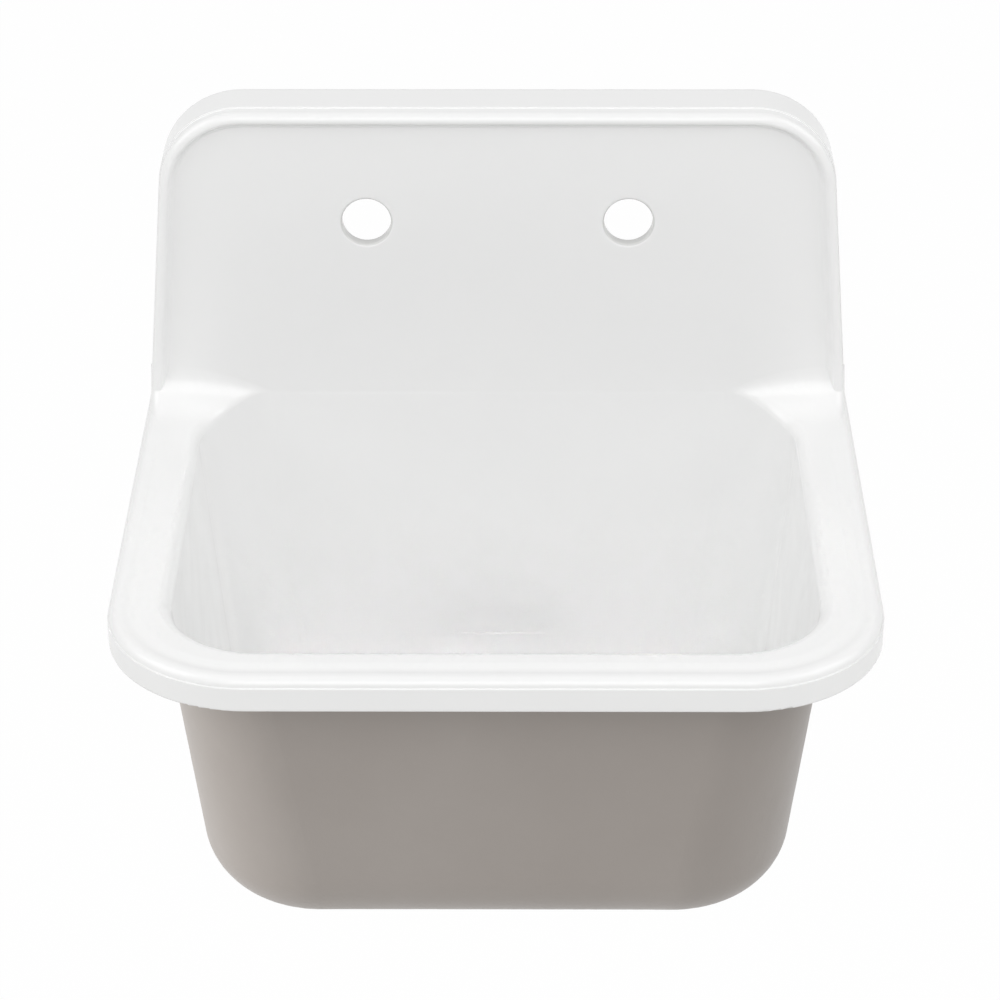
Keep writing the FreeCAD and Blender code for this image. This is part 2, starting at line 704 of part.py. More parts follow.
def strainer_body():
    """Flanged cup with threaded outside, outlet neck and a cross that guides the basket post."""
    flange_low, cup_low, neck_low = strainer_levels()
    flange_high = flange_low + STRAINER_FLANGE
    bore = CUP_R - CUP_WALL - THREAD_DEPTH
    thread_high = BOSS_Z
    thread_low = cup_low + CUP_BEND_R
    section = [(NECK_BORE_R, neck_low, 0)]
    section += ridges(NECK_R, neck_low, cup_low - 2 * CUP_WALL)
    section += [(NECK_R - THREAD_DEPTH, cup_low, 0), (CUP_R - THREAD_DEPTH, cup_low, CUP_BEND_R)]
    section += ridges(CUP_R, thread_low, thread_high)
    section += [(CUP_R, thread_high, 0), (CUP_R, flange_low, 0), (STRAINER_FLANGE_R, flange_low, 0),
                (STRAINER_FLANGE_R, flange_high, 1.0), (bore, flange_high, 3.0),
                (bore, cup_low + CUP_WALL, CUP_BEND_R - CUP_WALL), (NECK_BORE_R, cup_low + CUP_WALL, 1.0)]
    cup = turned(section)
    bar_low = neck_low + NECK_LENGTH / 3
    base = DRAIN + UP * bar_low
    lap = NECK_BORE_R + (NECK_R - NECK_BORE_R - THREAD_DEPTH) / 2
    bars = [Part.makeBox(2 * lap, CROSS_BAR, CROSS_BAR, base - Vector(lap, CROSS_BAR / 2, 0)),
            Part.makeBox(CROSS_BAR, 2 * lap, CROSS_BAR, base - Vector(CROSS_BAR / 2, lap, 0)),
            Part.makeCylinder(CROSS_HUB_R, CROSS_BAR, base, UP)]
    bored = Part.makeCylinder(POST_R + POST_FIT, 4 * CROSS_BAR, base - UP * CROSS_BAR, UP)
    return cup.multiFuse(bars).cut(bored).removeSplitter()


def putty_seal():
    """Bedding ring under the strainer flange."""
    return ring(CUP_R, STRAINER_FLANGE_R - 0.5, SEAT_Z, SEAT_Z + PUTTY)


def drain_gasket():
    """Rubber ring under the drain boss."""
    return ring(CUP_R, GASKET_R, BOSS_Z - GASKET, BOSS_Z, 0.6)


def friction_ring():
    """Fibre ring under the gasket."""
    return ring(CUP_R, GASKET_R - 1.0, BOSS_Z - GASKET - FRICTION_RING, BOSS_Z - GASKET)


def lock_nut():
    """Round nut with spanner notches that clamps the strainer."""
    high = BOSS_Z - GASKET - FRICTION_RING
    low = high - LOCK_NUT
    inner = CUP_R + THREAD_CLEARANCE
    nut = turned([(inner, low, 0.6), (LOCK_NUT_R, low, 1.5), (LOCK_NUT_R, high, 1.5), (inner, high, 0)])
    cutters = []
    for step in range(LOCK_NUT_NOTCHES):
        angle = 2 * math.pi * step / LOCK_NUT_NOTCHES
        base = DRAIN + Vector(math.cos(angle), math.sin(angle), 0) * (LOCK_NUT_R + 1.0)
        cutters.append(Part.makeCylinder(LOCK_NUT_NOTCH_R, 2 * LOCK_NUT, base + UP * (low - LOCK_NUT / 2), UP))
    return nut.cut(cutters)


def tailpiece_washer():
    """Flat seal between the neck and the tailpiece flange."""
    neck_low = strainer_levels()[2]
    return ring(TAIL_R - TAIL_WALL, TAIL_FLANGE_R, neck_low - TAIL_WASHER, neck_low)


def tailpiece():
    """Flanged outlet tube, drawn slightly narrower where the coupling nut surrounds it."""
    high = strainer_levels()[2] - TAIL_WASHER
    low = high - TAIL_LENGTH
    bore = TAIL_R - TAIL_WALL
    shelf = high - TAIL_FLANGE
    drawn = shelf - COUPLING_FLOOR - TAIL_FLANGE
    return turned([(bore, low, 0), (TAIL_R, low, 0), (TAIL_R, drawn, 0), (TAIL_R - TAIL_DRAW, drawn, 0),
                   (TAIL_R - TAIL_DRAW, shelf, 0.5), (TAIL_FLANGE_R, shelf, 0), (TAIL_FLANGE_R, high, 0),
                   (bore, high, 0)])


def coupling_nut():
    """Hexagonal slip nut that draws the tailpiece flange up to the neck."""
    neck_low = strainer_levels()[2]
    shelf = neck_low - TAIL_WASHER - TAIL_FLANGE
    low = shelf - COUPLING_FLOOR
    high = neck_low + COUPLING_GRIP
    body = hexagon(DRAIN + UP * low, UP, COUPLING_FLATS, high - low)
    reach = COUPLING_FLATS / 2 / math.cos(math.pi / 6)
    trim = turned([(0, low, 0), (reach - 1.5, low, 2.0), (reach - 1.5, high, 2.0), (0, high, 0)])
    bore = turned([(0, low - 1, 0), (TAIL_R + COUPLING_CLEARANCE, low - 1, 0),
                   (TAIL_R + COUPLING_CLEARANCE, shelf, 0), (NECK_R + THREAD_CLEARANCE, shelf, 0),
                   (NECK_R + THREAD_CLEARANCE, high + 1, 0), (0, high + 1, 0)])
    return body.common(trim).cut(bore)


def basket_levels():
    """Heights of the basket's lip and floor."""
    cup_low = strainer_levels()[1]
    stopper_low = cup_low + CUP_WALL + STOPPER_GAP
    floor_low = stopper_low + STOPPER
    lip = FLOOR_Z - BASKET_TOP_DROP
    return lip, floor_low, stopper_low


def basket_cup():
    """Perforated sheet cup with a rolled lip."""
    lip, floor_low, _ = basket_levels()
    outer = CUP_R - CUP_WALL - THREAD_DEPTH - BASKET_CLEARANCE
    wall = outer - BASKET_LIP
    foot = wall - BASKET_TAPER
    sheet = BASKET_SHEET
    cup = turned([(POST_R, floor_low, 0), (foot, floor_low, BASKET_FLOOR_R), (wall, lip - 2 * sheet, 0.6),
                  (outer, lip - 2 * sheet, 0.5), (outer, lip, 0.5), (wall - sheet, lip, 0.6),
                  (foot - sheet, floor_low + sheet, BASKET_FLOOR_R - sheet), (POST_R, floor_low + sheet, 0)])
    cutters = []
    slot_low = floor_low + BASKET_SLOT_MARGIN
    slot_high = lip - BASKET_SLOT_MARGIN
    for step in range(BASKET_SLOTS):
        angle = 360.0 * step / BASKET_SLOTS
        slot = Part.makeBox(2 * BASKET_FLOOR_R + BASKET_TAPER, BASKET_SLOT, slot_high - slot_low,
                            DRAIN + Vector(foot - BASKET_FLOOR_R, -BASKET_SLOT / 2, slot_low))
        slot.rotate(DRAIN, UP, angle)
        cutters.append(slot)
    for count, radius in ((BASKET_HOLES, BASKET_HOLE_RING / 2), (2 * BASKET_HOLES, BASKET_HOLE_RING)):
        for step in range(count):
            angle = 2 * math.pi * (step + 0.5) / count
            base = DRAIN + Vector(math.cos(angle), math.sin(angle), 0) * radius
            cutters.append(Part.makeCylinder(BASKET_HOLE_R, 4 * sheet, base + UP * (floor_low - sheet), UP))
    return cup.cut(cutters)


def post_levels():
    """Ends of the basket post."""
    neck_low = strainer_levels()[2]
    hub_low = neck_low + NECK_LENGTH / 3
    floor_low = basket_levels()[1]
    return hub_low - POST_BELOW_HUB, floor_low + 2 * KNOB


def basket_post():
    """Straight guide post through stopper, basket floor and knob."""
    low, high = post_levels()
    return turned([(0, low, 0), (POST_R, low, 1.0), (POST_R, high, 0), (0, high, 0)])


def basket_knob():
    """Turned pull knob on the upper end of the post."""
    high = post_levels()[1]
    low = high - KNOB / 2
    return turned([(POST_R, low, 0), (KNOB_R * 0.6, low, 0.6), (KNOB_R * 0.55, low + KNOB * 0.35, 2.0),
                   (KNOB_R, low + KNOB * 0.6, 1.5), (KNOB_R, low + KNOB, 2.5), (0, low + KNOB, 0),
                   (0, high, 0), (POST_R, high, 0)])


def stopper_seal():
    """Rubber stopper clamped under the basket floor."""
    _, floor_low, low = basket_levels()
    return turned([(POST_R, low, 0), (STOPPER_R, low, 1.6), (STOPPER_R - 2.0, floor_low, 1.0),
                   (POST_R, floor_low, 0)])


def stopper_nut():
    """Small nut that holds the stopper on the post."""
    low = basket_levels()[2]
    nut = hexagon(DRAIN + UP * (low - NUT), UP, NUT_FLATS, NUT)
    return nut.cut(Part.makeCylinder(POST_R, 4 * NUT, DRAIN + UP * (low - 2 * NUT), UP))


def build():
    """Make every node and write it to its own file."""
    iron = casting(ENAMEL)
    nodes = {
        "sink_casting": iron,
        "enamel_coat": enamel_coat(iron),
        "wall_hanger": wall_hanger(),
        "hanger_screws": hanger_screws(),
        "hanger_washers": hanger_washers(),
        "strainer_body": strainer_body(),
        "putty_seal": putty_seal(),
        "drain_gasket": drain_gasket(),
        "friction_ring": friction_ring(),
        "lock_nut": lock_nut(),
        "tailpiece_washer": tailpiece_washer(),
        "tailpiece": tailpiece(),
        "coupling_nut": coupling_nut(),
        "basket_cup": basket_cup(),
        "basket_post": basket_post(),
        "basket_knob": basket_knob(),
        "stopper_seal": stopper_seal(),
        "stopper_nut": stopper_nut(),
    }
    os.makedirs("parts", exist_ok=True)
    for name, shape in nodes.items():
        shape.exportStep("parts/" + name + ".step")
        print(name, len(shape.Solids), shape.isValid(), round(shape.Volume))


build()
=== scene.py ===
"""Wall-hung enamelled cast-iron sink: finishes, small mesh details, studio and camera."""

from __future__ import annotations

import logging
import math
from dataclasses import dataclass, field
from enum import Enum

import bmesh
import bpy
from mathutils import Matrix, Vector, noise

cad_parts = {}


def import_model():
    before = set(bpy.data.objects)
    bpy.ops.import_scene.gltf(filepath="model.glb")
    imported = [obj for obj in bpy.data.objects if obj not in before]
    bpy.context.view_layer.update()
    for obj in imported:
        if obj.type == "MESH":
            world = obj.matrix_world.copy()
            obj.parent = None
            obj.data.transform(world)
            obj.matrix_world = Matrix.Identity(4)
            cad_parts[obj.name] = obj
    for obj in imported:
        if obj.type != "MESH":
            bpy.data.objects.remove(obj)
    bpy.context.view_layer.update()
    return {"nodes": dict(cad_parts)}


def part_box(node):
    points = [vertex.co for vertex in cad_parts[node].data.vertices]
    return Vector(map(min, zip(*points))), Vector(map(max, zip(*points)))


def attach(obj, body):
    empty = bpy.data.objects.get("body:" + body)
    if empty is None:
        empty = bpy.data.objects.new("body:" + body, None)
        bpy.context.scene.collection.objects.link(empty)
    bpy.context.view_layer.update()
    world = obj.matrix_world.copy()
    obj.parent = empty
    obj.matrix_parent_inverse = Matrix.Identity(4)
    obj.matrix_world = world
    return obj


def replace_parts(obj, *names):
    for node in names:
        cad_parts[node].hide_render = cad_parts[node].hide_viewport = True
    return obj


LOG = logging.getLogger("wall_sink")
MM = 0.001
WELD = 0.00001
SHARP_ANGLE = math.radians(32.0)
FULL_TURN = 2.0 * math.pi
QUARTER_TURN = math.pi / 2

Colour = tuple[float, float, float]
Point = tuple[float, float, float]

WHITE: Colour = (1.0, 1.0, 1.0)
AXIS_Y: Point = (0.0, 1.0, 0.0)
AXIS_Z: Point = (0.0, 0.0, 1.0)


class Body(str, Enum):
    """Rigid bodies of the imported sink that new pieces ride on."""

    HANGER = "hanger"
    SINK = "sink"


class Slot(str, Enum):
    """Material slots of the record."""

    ENAMEL = "white_enamel"
    PRIMER = "primed_iron"
    HANGER = "zinc_steel"
    SCREW = "zinc_screw"
    STAINLESS = "stainless"
    CHROME = "chromed_tube"
    CAST_NUT = "cast_nut"
    BRASS = "brass_nut"
    RUBBER = "black_rubber"
    PUTTY = "putty"
    FIBRE = "fibre"
    SEAL = "white_seal"


class Flow(str, Enum):
    """Directions a brushed finish can run in."""

    ALONG_X = "along_x"
    ROUND_Z = "round_z"


def rgba(colour: Colour) -> tuple[float, float, float, float]:
    """Colour with full alpha."""
    return (*colour, 1.0)


class NodeBench:
    """Small helper that adds and links shader nodes in one tree."""

    columns: int = 8
    column_width: int = 180
    row_height: int = 220

    def __init__(self, tree: bpy.types.NodeTree) -> None:
        """Keep the tree to work on.

        Args:
            tree: Node tree of a material, a world or a group.
        """
        self.tree = tree
        self.count = 0

    def add(self, kind: str, **values: object) -> bpy.types.Node:
        """Add a node and set its properties.

        Args:
            kind: Blender's node type name.
            **values: Properties of the node, by name.

        Returns:
            The new node.
        """
        node = self.tree.nodes.new(kind)
        row, column = divmod(self.count, self.columns)
        node.location = (self.column_width * column, -self.row_height * row)
        self.count += 1
        for name, value in values.items():
            setattr(node, name, value)
        return node

    def link(self, source: bpy.types.NodeSocket, target: bpy.types.NodeSocket) -> None:
        """Join two sockets."""
        self.tree.links.new(source, target)

    def math(self, operation: str, first: object, second: object = 0.0) -> bpy.types.NodeSocket:
        """Add a Math node on sockets or numbers.

        Args:
            operation: Name of the operation.
            first: Socket or number.
            second: Socket or number.

        Returns:
            The value socket of the node.
        """
        node = self.add("ShaderNodeMath", operation=operation)
        for index, value in enumerate((first, second)):
            if isinstance(value, bpy.types.NodeSocket):
                self.link(value, node.inputs[index])
            else:
                node.inputs[index].default_value = value
        return node.outputs[0]


class EffectGroups:
    """Shader node groups that several finishes share."""

    middle: float = 0.5
    cloud_detail: float = 5.0
    cloud_roughness: float = 0.55
    cloud_contrast: float = 4.0
    wave_detail: float = 1.5
    grain_detail: float = 3.0
    smear_detail: float = 6.0
    smear_distortion: float = 0.8
    smear_low: float = 0.3
    smear_high: float = 0.7

    def __init__(self) -> None:
        """Build each group once."""
        self.mottle = self._mottle()
        self.grain = self._grain()
        self.handling = self._handling()

    @staticmethod
    def _open(name: str, inputs: list[tuple[str, str, object]], outputs: list[tuple[str, str]],
              ) -> tuple[bpy.types.NodeTree, NodeBench, bpy.types.Node, bpy.types.Node]:
        """Start a group with its sockets.

        Args:
            name: Group name.
            inputs: Socket name, socket type and default of each input.
            outputs: Socket name and socket type of each output.

        Returns:
            The group, its bench, its input node and its output node.
        """
        group = bpy.data.node_groups.new(name, "ShaderNodeTree")
        for label, kind, default in inputs:
            socket = group.interface.new_socket(label, in_out="INPUT", socket_type=kind)
            if default is not None:
                socket.default_value = default
        for label, kind in outputs:
            group.interface.new_socket(label, in_out="OUTPUT", socket_type=kind)
        bench = NodeBench(group)
        return group, bench, bench.add("NodeGroupInput"), bench.add("NodeGroupOutput")

    def _mottle(self) -> bpy.types.NodeTree:
        """Two tones that drift into each other in soft clouds.

        Returns:
            The node group.
        """
        group, bench, source, sink = self._open(
            "tone_mottle",
            [("Vector", "NodeSocketVector", None), ("Scale", "NodeSocketFloat", 12.0),
             ("Spread", "NodeSocketFloat", 0.5), ("Tone A", "NodeSocketColor", (0.5, 0.5, 0.5, 1.0)),
             ("Tone B", "NodeSocketColor", (0.6, 0.6, 0.6, 1.0))],
            [("Color", "NodeSocketColor"), ("Mask", "NodeSocketFloat")])
        clouds = bench.add("ShaderNodeTexNoise")
        clouds.inputs["Detail"].default_value = self.cloud_detail
        clouds.inputs["Roughness"].default_value = self.cloud_roughness
        bench.link(source.outputs["Vector"], clouds.inputs["Vector"])
        bench.link(source.outputs["Scale"], clouds.inputs["Scale"])
        centred = bench.math("SUBTRACT", clouds.outputs["Fac"], self.middle)
        widened = bench.math("MULTIPLY", centred, source.outputs["Spread"])
        mask = bench.add("ShaderNodeMath", operation="MULTIPLY_ADD", use_clamp=True)
        bench.link(widened, mask.inputs[0])
        mask.inputs[1].default_value = self.cloud_contrast
        mask.inputs[2].default_value = self.middle
        mix = bench.add("ShaderNodeMix", data_type="RGBA")
        bench.link(mask.outputs[0], mix.inputs["Factor"])
        bench.link(source.outputs["Tone A"], mix.inputs["A"])
        bench.link(source.outputs["Tone B"], mix.inputs["B"])
        bench.link(mix.outputs["Result"], sink.inputs["Color"])
        bench.link(mask.outputs[0], sink.inputs["Mask"])
        return group

    def _grain(self) -> bpy.types.NodeTree:
        """Fine moulded grain over a slow waviness, as a height.

        Returns:
            The node group.
        """
        group, bench, source, sink = self._open(
            "surface_grain",
            [("Vector", "NodeSocketVector", None), ("Wave Scale", "NodeSocketFloat", 16.0),
             ("Wave", "NodeSocketFloat", 1.0), ("Grain Scale", "NodeSocketFloat", 400.0),
             ("Grain", "NodeSocketFloat", 0.2)],
            [("Height", "NodeSocketFloat")])
        heights = []
        layers = (("Wave Scale", "Wave", self.wave_detail), ("Grain Scale", "Grain", self.grain_detail))
        for scale, weight, detail in layers:
            texture = bench.add("ShaderNodeTexNoise")
            texture.inputs["Detail"].default_value = detail
            bench.link(source.outputs["Vector"], texture.inputs["Vector"])
            bench.link(source.outputs[scale], texture.inputs["Scale"])
            heights.append(bench.math("MULTIPLY", texture.outputs["Fac"], source.outputs[weight]))
        bench.link(bench.math("ADD", heights[0], heights[1]), sink.inputs["Height"])
        return group

    def _handling(self) -> bpy.types.NodeTree:
        """Uneven polish: a roughness that drifts between two values, with faint smears.

        Returns:
            The node group.
        """
        group, bench, source, sink = self._open(
            "uneven_polish",
            [("Vector", "NodeSocketVector", None), ("Scale", "NodeSocketFloat", 9.0),
             ("Low", "NodeSocketFloat", 0.2), ("High", "NodeSocketFloat", 0.3)],
            [("Roughness", "NodeSocketFloat")])
        smears = bench.add("ShaderNodeTexNoise")
        smears.inputs["Detail"].default_value = self.smear_detail
        smears.inputs["Distortion"].default_value = self.smear_distortion
        bench.link(source.outputs["Vector"], smears.inputs["Vector"])
        bench.link(source.outputs["Scale"], smears.inputs["Scale"])
        spread = bench.add("ShaderNodeMapRange")
        spread.inputs["From Min"].default_value = self.smear_low
        spread.inputs["From Max"].default_value = self.smear_high
        bench.link(smears.outputs["Fac"], spread.inputs["Value"])
        bench.link(source.outputs["Low"], spread.inputs["To Min"])
        bench.link(source.outputs["High"], spread.inputs["To Max"])
        bench.link(spread.outputs["Result"], sink.inputs["Roughness"])
        return group


@dataclass(frozen=True)
class HoleRow:
    """Two round holes along Y, mirrored in X, whose walls get painted shade: the coat's colour darkens to a
    grey there.
    """

    reach_x: float
    level_z: float
    wall_r: float
    fade: float
    tone: Colour

    def paint_hole_shade(self, bench: NodeBench, place: bpy.types.NodeSocket,
               colour: bpy.types.NodeSocket) -> bpy.types.NodeSocket:
        """Paint shade into the coat in the holes' walls.

        Args:
            bench: Bench of the material.
            place: Coordinate socket.
            colour: Colour of the full coat.

        Returns:
            Colour of the coat with painted shade in the holes' walls.
        """
        split = bench.add("ShaderNodeSeparateXYZ")
        bench.link(place, split.inputs["Vector"])
        across = bench.math("SUBTRACT", bench.math("ABSOLUTE", split.outputs["X"]), self.reach_x)
        up = bench.math("SUBTRACT", split.outputs["Z"], self.level_z)
        squares = bench.math("ADD", bench.math("MULTIPLY", across, across), bench.math("MULTIPLY", up, up))
        # Painted shade mask: 1 in the hole walls, fading to 0 just outside them.
        shade_mask = bench.add("ShaderNodeMapRange", interpolation_type="SMOOTHSTEP")
        bench.link(bench.math("SQRT", squares), shade_mask.inputs["Value"])
        shade_mask.inputs["From Min"].default_value = self.wall_r
        shade_mask.inputs["From Max"].default_value = self.wall_r + self.fade
        shade_mask.inputs["To Min"].default_value = 1.0
        shade_mask.inputs["To Max"].default_value = 0.0
        mix = bench.add("ShaderNodeMix", data_type="RGBA")
        bench.link(shade_mask.outputs["Result"], mix.inputs["Factor"])
        bench.link(colour, mix.inputs["A"])
        mix.inputs["B"].default_value = rgba(self.tone)
        return mix.outputs["Result"]


@dataclass(frozen=True)
class Finish:
    """Values of one finish; every finish is laid on Object coordinates."""

    name: str
    tone_a: Colour
    tone_b: Colour
    rough_low: float
    rough_high: float
    metallic: float = 0.0
    mottle_scale: float = 12.0
    mottle_spread: float = 0.5
    wave_scale: float = 16.0
    wave: float = 0.0
    grain_scale: float = 400.0
    grain: float = 0.0
    relief: float = 0.0002
    coat: float = 0.0
    coat_roughness: float = 0.05
    ior: float = 1.5
    edge: float = 0.0
    edge_samples: int = 6
    # Painted shade in round hole walls, where set.
    hole_shade: HoleRow | None = None
    brush: Flow | None = None
    brush_scale: float = 900.0
    brush_detail: float = 2.0
    brush_height: float = 0.35
    centre: Point = (0.0, 0.0, 0.0)

    def material(self, groups: EffectGroups) -> bpy.types.Material:
        """Build the material.

        Args:
            groups: Shared effect groups.

        Returns:
            The material, ready to be put on a piece.
        """
        material = bpy.data.materials.new(self.name)
        material.use_nodes = True
        tree = material.node_tree
        tree.nodes.clear()
        bench = NodeBench(tree)
        output = bench.add("ShaderNodeOutputMaterial")
        shader = bench.add("ShaderNodeBsdfPrincipled")
        bench.link(shader.outputs["BSDF"], output.inputs["Surface"])
        place = bench.add("ShaderNodeTexCoord").outputs["Object"]
        tone = self._group(bench, groups.mottle, place, {
            "Scale": self.mottle_scale, "Spread": self.mottle_spread,
            "Tone A": rgba(self.tone_a), "Tone B": rgba(self.tone_b)})
        colour = tone.outputs["Color"]
        # Painted shade: the enamel darkens to grey in the faucet holes' walls.
        if self.hole_shade is not None:
            colour = self.hole_shade.paint_hole_shade(bench, place, colour)
        bench.link(colour, shader.inputs["Base Color"])
        polish = self._group(bench, groups.handling, place, {"Low": self.rough_low, "High": self.rough_high})
        bench.link(polish.outputs["Roughness"], shader.inputs["Roughness"])
        shader.inputs["Metallic"].default_value = self.metallic
        shader.inputs["IOR"].default_value = self.ior
        shader.inputs["Coat Weight"].default_value = self.coat
        shader.inputs["Coat Roughness"].default_value = self.coat_roughness
        relief = self._group(bench, groups.grain, place, {
            "Wave Scale": self.wave_scale, "Wave": self.wave,
            "Grain Scale": self.grain_scale, "Grain": self.grain})
        height = relief.outputs["Height"]
        if self.brush is not None:
            height = bench.math("ADD", height, self._brush_lines(bench, place))
        bump = bench.add("ShaderNodeBump")
        bump.inputs["Strength"].default_value = 1.0
        bump.inputs["Distance"].default_value = self.relief
        bench.link(height, bump.inputs["Height"])
        if self.edge:
            rounding = bench.add("ShaderNodeBevel", samples=self.edge_samples)
            rounding.inputs["Radius"].default_value = self.edge
            bench.link(rounding.outputs["Normal"], bump.inputs["Normal"])
        bench.link(bump.outputs["Normal"], shader.inputs["Normal"])
        return material

    @staticmethod
    def _group(bench: NodeBench, group: bpy.types.NodeTree, place: bpy.types.NodeSocket,
               values: dict[str, object]) -> bpy.types.Node:
        """Place a shared group in the material.

        Args:
            bench: Bench of the material.
            group: Shared node group.
            place: Coordinate socket.
            values: Input values by name.

        Returns:
            The group node.
        """
        node = bench.add("ShaderNodeGroup", node_tree=group)
        bench.link(place, node.inputs["Vector"])
        for name, value in values.items():
            node.inputs[name].default_value = value
        return node

    def _brush_lines(self, bench: NodeBench, place: bpy.types.NodeSocket) -> bpy.types.NodeSocket:
        """Fine lines of a brushed surface.

        Args:
            bench: Bench of the material.
            place: Coordinate socket.

        Returns:
            Height of the lines.
        """
        mapping = bench.add("ShaderNodeMapping")
        bench.link(place, mapping.inputs["Vector"])
        mapping.inputs["Location"].default_value = tuple(-value for value in self.centre)
        split = bench.add("ShaderNodeSeparateXYZ")
        bench.link(mapping.outputs["Vector"], split.inputs["Vector"])
        if self.brush is Flow.ROUND_Z:
            across = bench.math("MULTIPLY", split.outputs["X"], split.outputs["X"])
            deep = bench.math("MULTIPLY", split.outputs["Y"], split.outputs["Y"])
            first = bench.math("SQRT", bench.math("ADD", across, deep))
        else:
            first = split.outputs["Y"]
        line = bench.add("ShaderNodeCombineXYZ")
        bench.link(first, line.inputs["X"])
        bench.link(split.outputs["Z"], line.inputs["Y"])
        texture = bench.add("ShaderNodeTexNoise")
        texture.inputs["Scale"].default_value = self.brush_scale
        texture.inputs["Detail"].default_value = self.brush_detail
        bench.link(line.outputs["Vector"], texture.inputs["Vector"])
        return bench.math("MULTIPLY", texture.outputs["Fac"], self.brush_height)


DRAIN_CENTRE: Point = (0.0, -0.156, 0.0)

# Painted shade in the faucet holes' walls: the enamel's colour goes to this grey there.
FAUCET_HOLE_SHADE = HoleRow(
    reach_x=0.1016, level_z=0.0975, wall_r=0.0199, fade=0.0007, tone=(0.74, 0.74, 0.73))

FINISHES: dict[Slot, Finish] = {
    Slot.ENAMEL: Finish(
        "white_porcelain_enamel", tone_a=(0.91, 0.912, 0.91), tone_b=(0.928, 0.928, 0.925),
        rough_low=0.19, rough_high=0.27, mottle_scale=5.0, mottle_spread=0.35, wave_scale=14.0,
        wave=1.0, grain_scale=260.0, grain=0.05, relief=0.0005, coat=0.1, coat_roughness=0.08,
        edge=0.0011, hole_shade=FAUCET_HOLE_SHADE),
    Slot.PRIMER: Finish(
        "taupe_primer_on_iron", tone_a=(0.318, 0.286, 0.262), tone_b=(0.346, 0.314, 0.29),
        rough_low=0.34, rough_high=0.42, mottle_scale=7.0, mottle_spread=0.5, wave_scale=30.0, wave=0.5,
        grain_scale=520.0, grain=0.35, relief=0.00025),
    Slot.HANGER: Finish(
        "zinc_plated_rail", tone_a=(0.56, 0.57, 0.6), tone_b=(0.66, 0.67, 0.68), rough_low=0.3,
        rough_high=0.46, metallic=1.0, mottle_scale=60.0, mottle_spread=0.9, grain_scale=900.0,
        grain=0.1, relief=0.00006, brush=Flow.ALONG_X),
    Slot.SCREW: Finish(
        "yellow_zinc_screw", tone_a=(0.62, 0.56, 0.4), tone_b=(0.68, 0.66, 0.58), rough_low=0.24,
        rough_high=0.38, metallic=1.0, mottle_scale=140.0, mottle_spread=0.9, grain_scale=1200.0,
        grain=0.08, relief=0.00005),
    Slot.STAINLESS: Finish(
        "brushed_stainless", tone_a=(0.6, 0.6, 0.6), tone_b=(0.68, 0.68, 0.68), rough_low=0.2,
        rough_high=0.3, metallic=1.0, mottle_scale=30.0, relief=0.00003, brush=Flow.ROUND_Z,
        centre=DRAIN_CENTRE, brush_scale=1600.0),
    Slot.CHROME: Finish(
        "polished_chrome", tone_a=(0.58, 0.59, 0.61), tone_b=(0.66, 0.67, 0.68), rough_low=0.05,
        rough_high=0.12, metallic=1.0, mottle_scale=20.0, relief=0.00002, wave_scale=60.0, wave=0.3),
    Slot.CAST_NUT: Finish(
        "die_cast_nut", tone_a=(0.42, 0.42, 0.43), tone_b=(0.52, 0.52, 0.52), rough_low=0.38,
        rough_high=0.55, metallic=0.9, mottle_scale=80.0, grain_scale=900.0, grain=0.5, relief=0.00008),
    Slot.BRASS: Finish(
        "plain_brass_nut", tone_a=(0.62, 0.45, 0.2), tone_b=(0.74, 0.57, 0.29), rough_low=0.25,
        rough_high=0.4, metallic=1.0, mottle_scale=70.0, mottle_spread=0.8, grain_scale=1000.0,
        grain=0.2, relief=0.00005),
    Slot.RUBBER: Finish(
        "black_rubber", tone_a=(0.022, 0.022, 0.023), tone_b=(0.034, 0.034, 0.034), rough_low=0.55,
        rough_high=0.75, mottle_scale=60.0, grain_scale=1500.0, grain=0.6, relief=0.00005),
    Slot.PUTTY: Finish(
        "bedding_putty", tone_a=(0.55, 0.5, 0.41), tone_b=(0.64, 0.59, 0.5), rough_low=0.6,
        rough_high=0.8, mottle_scale=90.0, wave_scale=160.0, wave=0.8, grain_scale=900.0, grain=0.4,
        relief=0.0003),
    Slot.FIBRE: Finish(
        "red_fibre_ring", tone_a=(0.3, 0.16, 0.09), tone_b=(0.4, 0.24, 0.14), rough_low=0.7,
        rough_high=0.85, mottle_scale=300.0, mottle_spread=1.0, grain_scale=2000.0, grain=0.8,
        relief=0.00006),
    Slot.SEAL: Finish(
        "white_nylon_seal", tone_a=(0.76, 0.76, 0.73), tone_b=(0.82, 0.82, 0.79), rough_low=0.35,
        rough_high=0.5, mottle_scale=50.0, grain_scale=900.0, grain=0.2, relief=0.00004),
}


